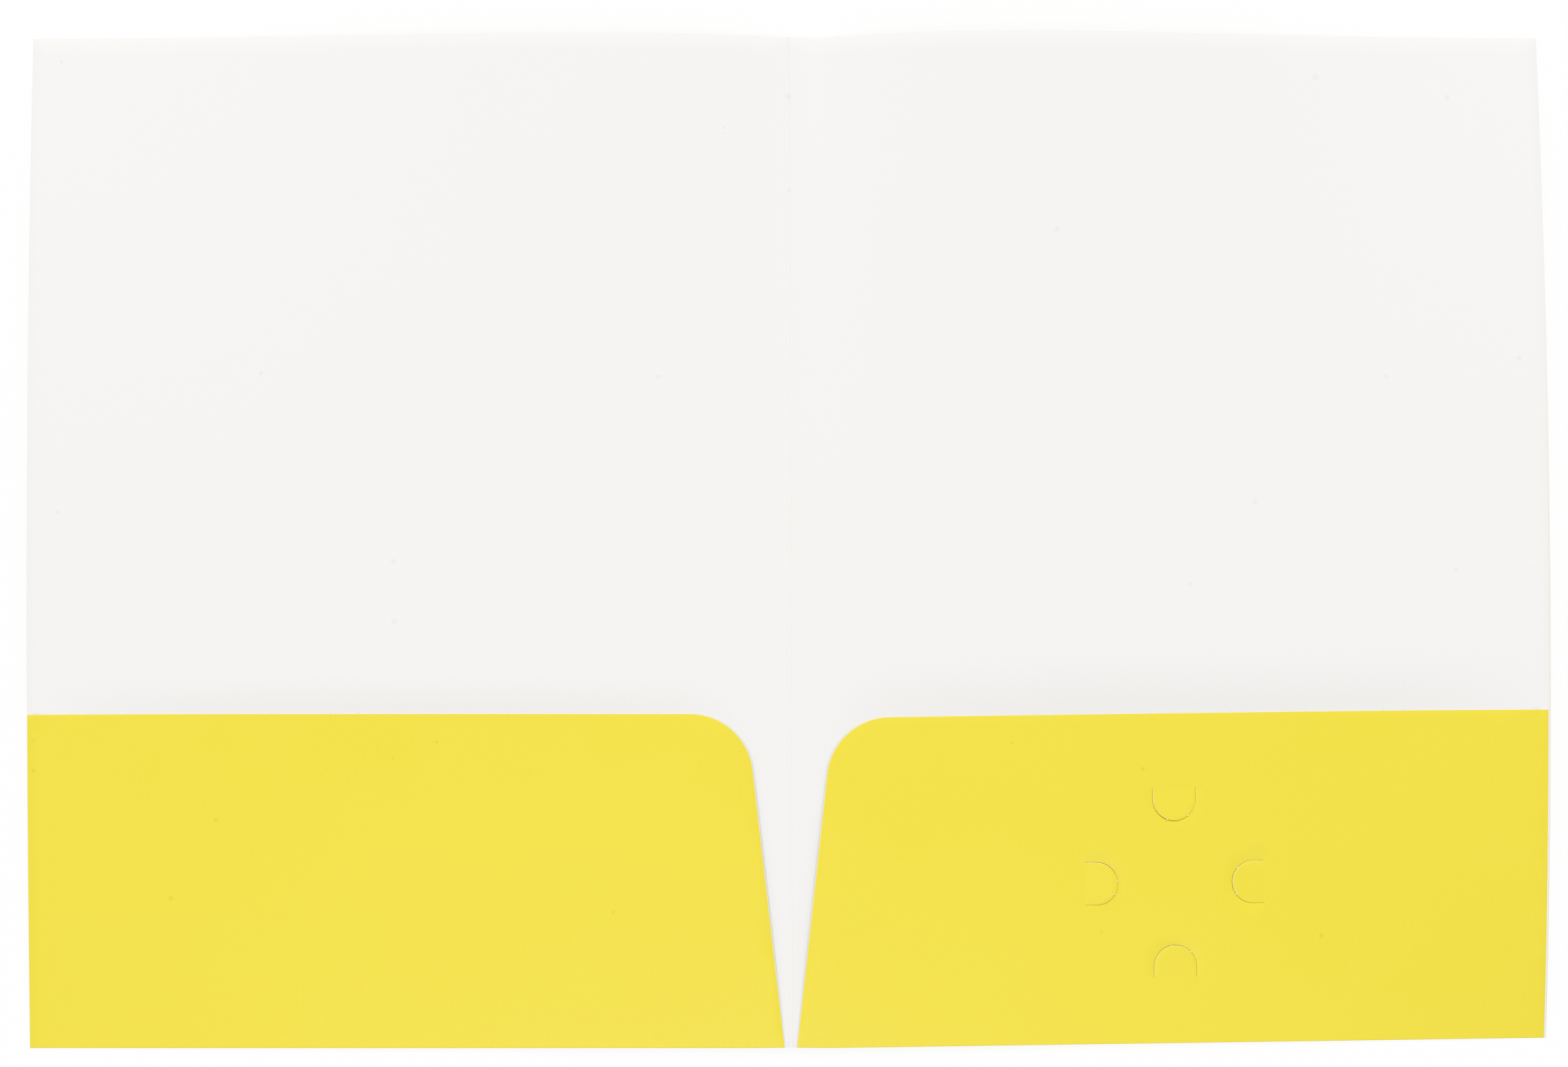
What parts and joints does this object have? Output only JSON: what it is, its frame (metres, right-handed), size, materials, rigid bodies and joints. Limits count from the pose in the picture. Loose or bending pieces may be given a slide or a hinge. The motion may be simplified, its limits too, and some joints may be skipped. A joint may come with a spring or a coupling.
{
  "type": "two pocket folder",
  "caption": "Folded board folder with a scored spine, a glued pocket inside each cover and card tongues cut in the right pocket; holds loose letter sheets and a card.",
  "frame": {"origin": "on the spine's centreline, half way up the covers, on the surface that the open folder lies on", "axes": "+X from the spine towards the back cover, on the right; +Y up to the covers' top edge; +Z out of the inside faces"},
  "size_m": [0.4572, 0.3048, 0.0005],
  "materials": {
    "white_board": "matte",
    "yellow_print": "satin",
    "glue": "satin"
  },
  "bodies": {
    "back_cover": {"back_cover": "white_board", "right_bottom_fold": "yellow_print", "right_glue_seam": "glue", "right_pocket_base": "yellow_print"},
    "spine": {"spine_bead": "white_board"},
    "front_cover": {"front_cover": "white_board", "left_bottom_fold": "yellow_print", "left_glue_seam": "glue", "left_pocket_base": "yellow_print"},
    "left_flap": {"left_pocket_flap": "yellow_print"},
    "right_flap": {"right_pocket_flap": "yellow_print"},
    "tongue_top": {"card_tongue_top": "yellow_print"},
    "tongue_left": {"card_tongue_left": "yellow_print"},
    "tongue_bottom": {"card_tongue_bottom": "yellow_print"},
    "tongue_right": {"card_tongue_right": "yellow_print"}
  },
  "joints": [
    {"name": "spine_fold_back", "type": "hinge", "parent": "back_cover", "child": "spine", "pos_m": [0.00047, 0, 0.00013], "axis": [0, -1, 0], "range_deg": [-90, 0]},
    {"name": "spine_fold_front", "type": "hinge", "parent": "spine", "child": "front_cover", "pos_m": [-0.00047, 0, 0.00013], "axis": [0, -1, 0], "range_deg": [-90, 0]},
    {"name": "left_pocket_open", "type": "hinge", "parent": "front_cover", "child": "left_flap", "pos_m": [-0.11511, -0.10226, 0.00055], "axis": [0.9154, -0.4025, 0], "range_deg": [0, 18], "stiffness_Nm_per_rad": 0.02},
    {"name": "right_pocket_open", "type": "hinge", "parent": "back_cover", "child": "right_flap", "pos_m": [0.11486, -0.10226, 0.00055], "axis": [0.9151, 0.4033, 0], "range_deg": [0, 18], "stiffness_Nm_per_rad": 0.02},
    {"name": "card_tongue_top_lift", "type": "hinge", "parent": "right_flap", "child": "tongue_top", "pos_m": [0.116, -0.07495, 0.00055], "axis": [-1, 0, 0], "range_deg": [0, 30], "stiffness_Nm_per_rad": 0.002},
    {"name": "card_tongue_left_lift", "type": "hinge", "parent": "right_flap", "child": "tongue_left", "pos_m": [0.08855, -0.1039, 0.00055], "axis": [0, -1, 0], "range_deg": [0, 30], "stiffness_Nm_per_rad": 0.002},
    {"name": "card_tongue_bottom_lift", "type": "hinge", "parent": "back_cover", "child": "tongue_bottom", "pos_m": [0.116, -0.13285, 0.00055], "axis": [1, 0, 0], "range_deg": [0, 30], "stiffness_Nm_per_rad": 0.002},
    {"name": "card_tongue_right_lift", "type": "hinge", "parent": "back_cover", "child": "tongue_right", "pos_m": [0.14345, -0.1039, 0.00055], "axis": [0, 1, 0], "range_deg": [0, 30], "stiffness_Nm_per_rad": 0.002}
  ],
  "couplings": [
    {"joint": "spine_fold_back", "follows": "spine_fold_front", "ratio": 1}
  ]
}
